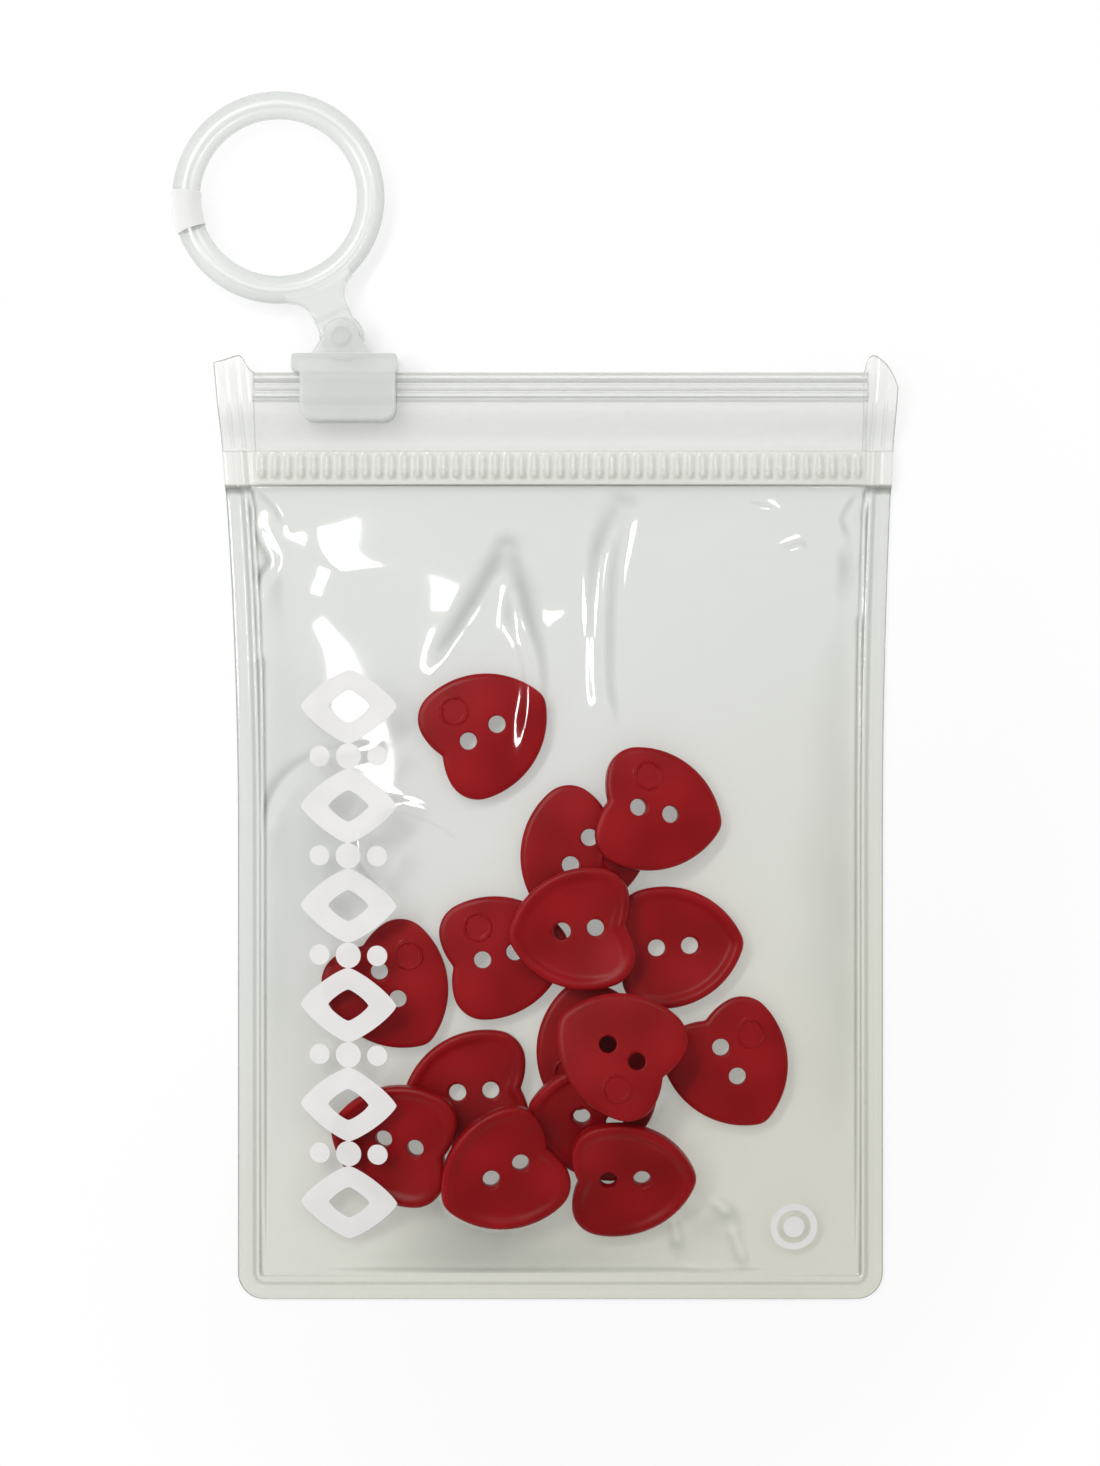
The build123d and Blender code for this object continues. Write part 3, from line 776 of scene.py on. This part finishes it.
def gridShell(x, y, top, thickness):
    rows, cols = x.shape
    upper = np.stack([x, y, top], -1).reshape(-1, 3)
    lower = np.stack([x, y, top - thickness], -1).reshape(-1, 3)
    count = rows * cols
    index = np.arange(count).reshape(rows, cols)
    a, b, c, d = index[:-1, :-1], index[:-1, 1:], index[1:, 1:], index[1:, :-1]
    faces = np.stack([a, b, c, d], -1).reshape(-1, 4)
    under = faces[:, ::-1] + count
    rim = np.concatenate([index[0, :], index[1:, -1], index[-1, :-1][::-1], index[1:-1, 0][::-1]])
    after = np.roll(rim, -1)
    walls = np.stack([rim, rim + count, after + count, after], -1)
    return np.concatenate([upper, lower]), np.concatenate([faces, under, walls]).tolist()


def makeFrontFilm():
    p = pouch
    band = p["weldBand"]
    turn = np.linspace(0, math.pi / 2, 15)
    cornerRows = p["bottomY"] + p["cornerRadius"] * (1 - np.cos(turn))
    openRows = np.linspace(cornerRows[-1], p["stripBottom"], 214)[1:]
    y = np.concatenate([cornerRows, openRows])
    weldCols = np.linspace(0, band, 18)
    shares = np.linspace(0, 1, 158)
    left, right = sideX(y, -1), sideX(y, 1)
    inner = left[:, None] + band + (right - left - 2 * band)[:, None] * shares[None, 1:-1]
    x = np.concatenate([left[:, None] + weldCols, inner, (right[:, None] - weldCols)[:, ::-1]], 1)
    y = np.repeat(y[:, None], x.shape[1], 1)
    points, faces = gridShell(x, y, filmHeight(x, y), p["filmThickness"])
    film = meshPiece("frontFilm", points, faces, clearFilm)
    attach(film, "pouch")
    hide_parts("front_film")
    return film


frontFilm = makeFrontFilm()
print("front film made", len(frontFilm.data.polygons))


# Knurled weld strip over the zip tapes

knurl = {
    "pitch": 1.6, "tooth": 0.4, "crown": 0.4, "crownY": 44.85, "crownWidth": 0.5, "start": 44.25,
    "end": 47.35, "startSlope": 0.7, "endSlope": 0.35, "sideSlope": 0.6, "endMargin": 3.6, "step": 0.16,
    "thickness": 0.28, "overlap": 0.15, "droop": 0.35, "fold": (0.3, 0.22, 0.14),
}


def makeWeldStrip():
    p, k = pouch, knurl
    y = np.concatenate([np.linspace(p["stripBottom"] - k["overlap"], k["start"] + 0.9, 12),
                        np.linspace(k["start"] + 0.9, p["stripTop"], 12)[1:]])
    left, right = sideX(y, -1), sideX(y, 1)
    count = int((right[0] - left[0]) / k["step"])
    shares = np.linspace(0, 1, count)
    x = left[:, None] + (right - left)[:, None] * shares[None, :]
    yy = np.repeat(y[:, None], count, 1)
    wave = 0.5 + 0.5 * np.cos(x * 2 * math.pi / k["pitch"])
    crest = wave**1.3 * k["tooth"]
    inset = np.minimum(x - left[:, None], right[:, None] - x)
    lower = np.clip((yy - k["start"]) / k["startSlope"], 0, 1)
    ends = np.sqrt(np.clip(lower * np.clip((k["end"] - yy) / k["endSlope"], 0, 1), 0, 1))
    sides = np.clip((inset - k["endMargin"]) / k["sideSlope"], 0, 1)
    bulge = k["crown"] * wave * np.exp(-(((yy - k["crownY"]) / k["crownWidth"]) ** 2))
    foldLine = ridge(yy - p["stripBottom"], *k["fold"])
    droop = -k["droop"] * np.clip((p["stripBottom"] - yy) / k["overlap"], 0, 1) + weldRelief(inset)
    top = p["stripTopZ"] + (crest * ends + bulge) * sides + foldLine * sides + droop
    points, faces = gridShell(x, yy, top, k["thickness"])
    strip = meshPiece("weldStrip", points, faces, knurlVinyl)
    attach(strip, "pouch")


makeWeldStrip()
print("weld strip made")


# Zip rails: extrusions with rounded lines, and the flattened ends that stand up as ears

rails = {
    "halfLength": 37.8, "top": 57.15, "height": 3.5, "middleZ": 2.8, "faceZ": 4.2, "edgeRounding": 0.3,
    "tapeThickness": 0.5, "tapeGap": 0.1, "tapeFootY": 48.0, "frontFootZ": 1.4, "backFootZ": 0.88,
    "stemHalf": 0.375, "barbHalf": 0.775, "barbZ": 0.3, "tipZ": -0.5, "webZ": 0.8, "jawStep": 0.1,
    "jawZ": 0.7, "jawLip": 0.77, "lipZ": 0.4, "jawWall": 0.55, "jawFloorZ": -0.8, "footOverlap": 0.05,
    # lines pressed into the face: depth, y and half width
    "lines": [(0.13, 56.82, 0.1), (0.17, 55.75, 0.17), (0.06, 54.55, 0.12), (0.28, 54.0, 0.13)],
    "leftEar": [
        (-42.8, 58.45), (-41.6, 58.8), (-40.2, 59.25), (-39.5, 59.42), (-39.05, 59.0), (-38.5, 58.0),
        (-37.9, 57.4), (-37.3, 57.15), (-36.0, 57.15)],
    "rightEar": [(37.3, 57.2), (37.5, 57.7), (37.7, 58.5), (38.0, 59.1), (38.4, 59.4), (38.9, 59.3),
                 (39.4, 58.9), (40.2, 58.2), (41.0, 57.0), (41.7, 55.5)],
    "earInner": 37.3,
}


def railFace(y, sign):
    # Outer face of a rail: flat, with pressed lines and rounded edges; sign is 1 for the front rail
    r = rails
    height = np.full(len(y), r["faceZ"] - r["middleZ"])
    for line in r["lines"]:
        height -= ridge(y, *line)
    near = np.minimum(r["top"] - y, y - (r["top"] - r["height"]))
    rounded = r["edgeRounding"] - np.sqrt(np.clip(
        r["edgeRounding"] ** 2 - np.clip(r["edgeRounding"] - near, 0, None) ** 2, 0, None))
    return r["middleZ"] + sign * (height - rounded)


def tapeEdge(footZ, topZ):
    # The tape leaves the weld strip and rises slowly to the zip
    r = rails
    share = np.linspace(0, 1, 16)
    rise = share**2 * (3 - 2 * share)
    bottom = r["top"] - r["height"]
    y = r["tapeFootY"] + (bottom - r["tapeFootY"]) * share
    return list(zip(y, footZ + (topZ - footZ) * (0.35 * rise + 0.65 * share)))


def railProfiles():
    r = rails
    top, bottom, mid = r["top"], r["top"] - r["height"], r["middleZ"]
    outerY = np.linspace(top, bottom, 70)
    gap, thick = r["tapeGap"] / 2, r["tapeThickness"]
    jaws = bottom + thick + r["jawStep"]
    stem, wide, middle = r["stemHalf"], r["barbHalf"], (jaws + top) / 2
    web, barb, tip = mid + r["webZ"], mid + r["barbZ"], mid + r["tipZ"]
    foot = pouch["stripBottom"] + r["footOverlap"]
    frontTape = tapeEdge(r["frontFootZ"], mid + gap + thick)[::-1]
    under = [(y, z - thick) for y, z in frontTape[::-1]]
    front = list(zip(outerY, railFace(outerY, 1)))
    front += frontTape + [(foot, r["frontFootZ"]), (foot, r["frontFootZ"] - thick)] + under
    # The arrow-shaped bead hangs from the web
    front += [
        (bottom + thick, mid + gap), (bottom + thick, web), (middle - stem, web), (middle - stem, barb),
        (middle - wide, barb), (middle - stem, tip), (middle + stem, tip), (middle + wide, barb),
        (middle + stem, barb), (middle + stem, web), (top, web)]
    # The jaws reach up round the bead
    jawTop, lip, base = mid + r["jawZ"], mid + r["lipZ"], mid + r["jawFloorZ"]
    back = [
        (top, jawTop), (top - r["jawLip"], jawTop), (top - r["jawLip"], lip), (top - r["jawWall"], lip),
        (top - r["jawWall"], base), (jaws + r["jawWall"], base), (jaws + r["jawWall"], lip),
        (jaws + r["jawLip"], lip), (jaws + r["jawLip"], jawTop), (jaws, jawTop), (jaws, mid - gap)]
    backTape = tapeEdge(r["backFootZ"], mid - gap)[::-1]
    below = [(y, z - thick) for y, z in backTape[::-1]]
    back += backTape + [(foot, r["backFootZ"]), (foot, r["backFootZ"] - thick)] + below
    back += list(zip(outerY, railFace(outerY, -1)))[::-1]
    return front, back


def extrudeAlongX(profile, half, sections=9):
    points = [(x, y, z) for x in np.linspace(-half, half, sections) for y, z in profile]
    return np.array(points), tubeFaces(sections, len(profile))


pad = {
    "overlap": 0.1, "widthY": 58.0, "edgeReach": 0.3, "edgeDrop": 0.22, "frontTopZ": 0.55, "backTopZ": -0.05,
    "frontThickness": 0.48, "backThickness": 0.45, "backDrop": 0.02,
    # pressed lines along the pouch's side: height, distance from the edge and half width
    "lines": [(-0.1, 1.35, 0.14), (-0.12, 2.75, 0.16), (-0.06, 3.9, 0.14)],
}


def makePad(side, sign):
    # The flattened rail end on one side, a shell that follows the pouch's flaring edge up to the ear
    r, p = rails, pouch
    ear = smoothCurve(r["leftEar"] if side < 0 else r["rightEar"], 0.2)
    across = np.linspace(0, 1, 44)
    upward = np.linspace(0, 1, 70)
    inner = side * (r["halfLength"] - pad["overlap"] if side < 0 else r["earInner"])
    topX = inner + (sideX(pad["widthY"], side) - inner) * across
    topY = np.interp(topX, ear[:, 0], ear[:, 1])
    y = p["stripTop"] + (topY[None, :] - p["stripTop"]) * upward[:, None]
    x = inner + (sideX(y, side) - inner) * across[None, :]
    inset = np.abs(sideX(y, side) - x)
    below = np.abs(topY[None, :] - y)
    which = "front" if sign > 0 else "back"
    tapeY, tapeZ = zip(*tapeEdge(r[which + "FootZ"], r["middleZ"] + pad[which + "TopZ"]))
    height = np.interp(y, tapeY, tapeZ)
    if sign < 0:
        return gridShell(x, y, height - pad["backDrop"], pad["backThickness"])
    edge = np.clip(np.minimum(inset, below) / pad["edgeReach"], 0, 1)
    rounded = pad["edgeDrop"] * (1 - np.sqrt(1 - (1 - edge) ** 2))
    lines = sum(ridge(inset, *line) for line in pad["lines"])
    return gridShell(x, y, height + lines - rounded, pad["frontThickness"])


def makeRails():
    for profile, sign, node in zip(railProfiles(), (1, -1), ("zip_rail_front", "zip_rail_back")):
        points, faces = extrudeAlongX(profile, rails["halfLength"])
        for side in (-1, 1):
            padPoints, padFaces = makePad(side, sign)
            faces = faces + [tuple(i + len(points) for i in face) for face in padFaces]
            points = np.concatenate([points, padPoints])
        piece = meshPiece("zipFront" if sign > 0 else "zipBack", points, faces, zipVinyl)
        piece.data.set_sharp_from_angle(angle=math.radians(32))
        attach(piece, "pouch")
        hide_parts(node)


makeRails()
print("zip rails made")


# CAD pieces that keep their shape, with their own finish; a voxel size, in mm, softens the edges too

finishes = {
    "slider": (frostedPlastic, 0.14), "pull_ring": (ringPlastic, 0.16), "ring_wrap": (whiteTape, 0),
    "back_film": (clearFilm, 0),
}


def finishNode(nodeName, material, voxel):
    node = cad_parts[nodeName]
    node.data.materials.clear()
    node.data.materials.append(material)
    node.data.polygons.foreach_set("material_index", [0] * len(node.data.polygons))
    node.data.polygons.foreach_set("use_smooth", [voxel > 0] * len(node.data.polygons))
    if voxel > 0:
        weld = node.modifiers.new("weld", "WELD")
        weld.merge_threshold = 0.000005
        remesh = node.modifiers.new("remesh", "REMESH")
        remesh.mode, remesh.voxel_size, remesh.use_smooth_shade = "VOXEL", voxel * mm, True
        smooth = node.modifiers.new("smooth", "SMOOTH")
        smooth.factor, smooth.iterations = 0.5, 7


for nodeName, (material, voxel) in finishes.items():
    finishNode(nodeName, material, voxel)
print("CAD pieces finished")


# Printed ornament on the front film

ornament = {
    "centreX": -26.0, "top": 16.2, "pitch": 12.2, "count": 6, "lozengeWide": 6.0, "lozengeHigh": 4.6,
    "lozengePower": 1.25, "holeShare": 0.42, "dotRadius": 1.25, "middleDot": 1.25, "dotSpread": 3.6,
    "lift": 0.035, "mark": (28.8, -48.0), "markRadius": 2.9, "markRingShare": 0.72, "markDiscShare": 0.45,
    "pinhole": 0.02,
}


def closedCurve(cx, cy, wide, high, power, count=64):
    turn = np.arange(count) * 2 * math.pi / count
    c, s = np.cos(turn), np.sin(turn)
    reach = (np.abs(c) ** power + np.abs(s) ** power) ** (-1 / power)
    return np.column_stack([cx + wide * c * reach, cy + high * s * reach])


def flatRing(outer, inner, steps):
    rows = [outer + (inner - outer) * share for share in np.linspace(0, 1, steps + 1)]
    return np.concatenate(rows), ringFaces(steps + 1, len(outer))


def roundRing(centre, radius, hole, steps, count=64):
    outer = closedCurve(*centre, radius, radius, 2, count)
    return flatRing(outer, closedCurve(*centre, hole, hole, 2, count), steps)


def makeOrnament():
    o = ornament
    shapes = []
    for k in range(o["count"]):
        cy = o["top"] - k * o["pitch"]
        wide, high = o["lozengeWide"], o["lozengeHigh"]
        outer, inner = [
            closedCurve(o["centreX"], cy, wide * share, high * share, o["lozengePower"])
            for share in (1, o["holeShare"])]
        shapes.append(flatRing(outer, inner, 8))
        if k == o["count"] - 1:
            break
        for side in (-1, 0, 1):
            dot = (o["centreX"] + side * o["dotSpread"], cy - o["pitch"] / 2)
            radius = o["dotRadius"] * (1.0 if side else o["middleDot"])
            shapes.append(roundRing(dot, radius, o["pinhole"], 4, 32))
    r = o["markRadius"]
    shapes.append(roundRing(o["mark"], r, r * o["markRingShare"], 4))
    shapes.append(roundRing(o["mark"], r * o["markDiscShare"], o["pinhole"], 5))
    points, faces, offset = [], [], 0
    for shapePoints, shapeFaces in shapes:
        points.append(shapePoints)
        faces += [tuple(i + offset for i in face) for face in shapeFaces]
        offset += len(shapePoints)
    flat = np.concatenate(points)
    height = filmHeight(flat[:, 0], flat[:, 1]) + o["lift"]
    piece = meshPiece("printedOrnament", np.column_stack([flat, height]), faces, whitePrint)
    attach(piece, "pouch")


makeOrnament()
print("ornament printed")


# Studio: floor, lamps, world and camera

studio = {
    "floorSize": 6.0, "floorZ": -0.01, "floorColour": (0.96, 0.96, 0.96, 1), "nearGlow": 0.4, "farGlow": 1.0,
    "nearReach": 0.045, "farReach": 0.088, "squash": (1, 0.75, 0), "worldLevel": 0.69,
    "ceilingEdge": 0.1, "ceilingFull": 0.5, "wallMirror": 1.0, "ceilingMirror": 0.02, "lampDistance": 0.45,
    # turn from +X, tilt from straight up, length across and width along the tilt, radiance
    "lamps": [
        (124, 34, 0.08, 0.06, 24.0),
        (160, 34, 0.15, 0.03, 26.0),
        (62, 36, 0.05, 0.05, 14.0),
    ],
}
scene.cycles.transparent_max_bounces = 24  # many clear layers lie over each other at the zip
scene.cycles.max_bounces = 4
scene.cycles.diffuse_bounces = 2
scene.cycles.glossy_bounces = 2


def lightPathShare(tree, share):
    # The share for camera, glossy and transmission rays, and 0 for the light that the floor gives back
    path = addNode(tree, "ShaderNodeLightPath").outputs
    either = mathNode(tree, "MAXIMUM", path["Is Camera Ray"], path["Is Glossy Ray"])
    return mathNode(tree, "MULTIPLY", mathNode(tree, "MAXIMUM", either, path["Is Transmission Ray"]), share)


def makeFloor():
    made, tree = newMaterial("paleFloor")
    matt = addNode(tree, "ShaderNodeBsdfDiffuse", {"Color": studio["floorColour"]}).outputs[0]
    glow = addNode(tree, "ShaderNodeEmission", {"Color": (1, 1, 1, 1), "Strength": 1.0}).outputs[0]
    # The floor is plain white away from the object, and keeps its shadow near it
    where = {0: objectPlace(tree), 1: studio["squash"]}
    squashed = addNode(tree, "ShaderNodeVectorMath", where, operation="MULTIPLY").outputs[0]
    far = addNode(tree, "ShaderNodeVectorMath", {0: squashed}, operation="LENGTH").outputs["Value"]
    reach = {"Value": far, "From Min": studio["nearReach"], "From Max": studio["farReach"],
             "To Min": studio["nearGlow"], "To Max": studio["farGlow"]}
    share = lightPathShare(tree, mapRange(tree, reach, interpolation_type="SMOOTHSTEP"))
    addNode(tree, "ShaderNodeOutputMaterial", {"Surface": mixShaders(tree, share, matt, glow)})
    s, z = studio["floorSize"] / 2 / mm, studio["floorZ"]
    floor = meshPiece("floor", [(-s, -s, z), (s, -s, z), (s, s, z), (-s, s, z)], [(0, 1, 2, 3)], made)


def makeWorld():
    # Light all round, a white surround for the camera, and a dim ceiling in reflections
    world = bpy.data.worlds.new("studioWorld")
    scene.world = world
    world.use_nodes = True
    tree = world.node_tree
    tree.nodes.clear()
    s = studio
    up = addNode(tree, "ShaderNodeTexCoord").outputs["Generated"]
    height = addNode(tree, "ShaderNodeSeparateXYZ", {0: up}).outputs["Z"]
    levels = {"Value": height, "From Min": s["ceilingEdge"], "From Max": s["ceilingFull"],
              "To Min": s["wallMirror"], "To Max": s["ceilingMirror"]}
    ceiling = mapRange(tree, levels, interpolation_type="SMOOTHSTEP")
    path = addNode(tree, "ShaderNodeLightPath").outputs
    seen = mathNode(tree, "MAXIMUM", path["Is Camera Ray"], path["Is Transmission Ray"])
    soft, mirrored, white = [
        addNode(tree, "ShaderNodeBackground", {"Color": (1, 1, 1, 1), "Strength": strength}).outputs[0]
        for strength in (s["worldLevel"], ceiling, 1.0)]
    lit = mixShaders(tree, path["Is Glossy Ray"], soft, mirrored)
    addNode(tree, "ShaderNodeOutputWorld", {"Surface": mixShaders(tree, seen, lit, white)})


def makeLamps():
    for number, (turn, tilt, length, width, radiance) in enumerate(studio["lamps"]):
        lamp = bpy.data.lights.new(f"lamp{number}", "AREA")
        lamp.shape, lamp.size, lamp.size_y = "RECTANGLE", length, width
        lamp.energy = radiance * math.pi * length * width
        holder = bpy.data.objects.new(f"lamp{number}", lamp)
        scene.collection.objects.link(holder)
        a, t = math.radians(turn), math.radians(tilt)
        direction = Vector((math.sin(t) * math.cos(a), math.sin(t) * math.sin(a), math.cos(t)))
        holder.location = direction * studio["lampDistance"]
        holder.rotation_euler = direction.to_track_quat("Z", "Y").to_euler()


view = {"centreX": -1.29, "centreY": 12.92, "planeZ": 3.0, "distance": 0.4, "spanHigh": 0.18032}


def makeCamera():
    camera = bpy.data.cameras.new("camera")
    camera.lens = camera.sensor_width * view["distance"] / view["spanHigh"]
    camera.clip_start, camera.clip_end = 0.01, 20
    holder = bpy.data.objects.new("camera", camera)
    scene.collection.objects.link(holder)
    holder.location = (view["centreX"] * mm, view["centreY"] * mm, view["planeZ"] * mm + view["distance"])
    scene.camera = holder


makeFloor()
makeWorld()
makeLamps()
makeCamera()
print("studio ready")
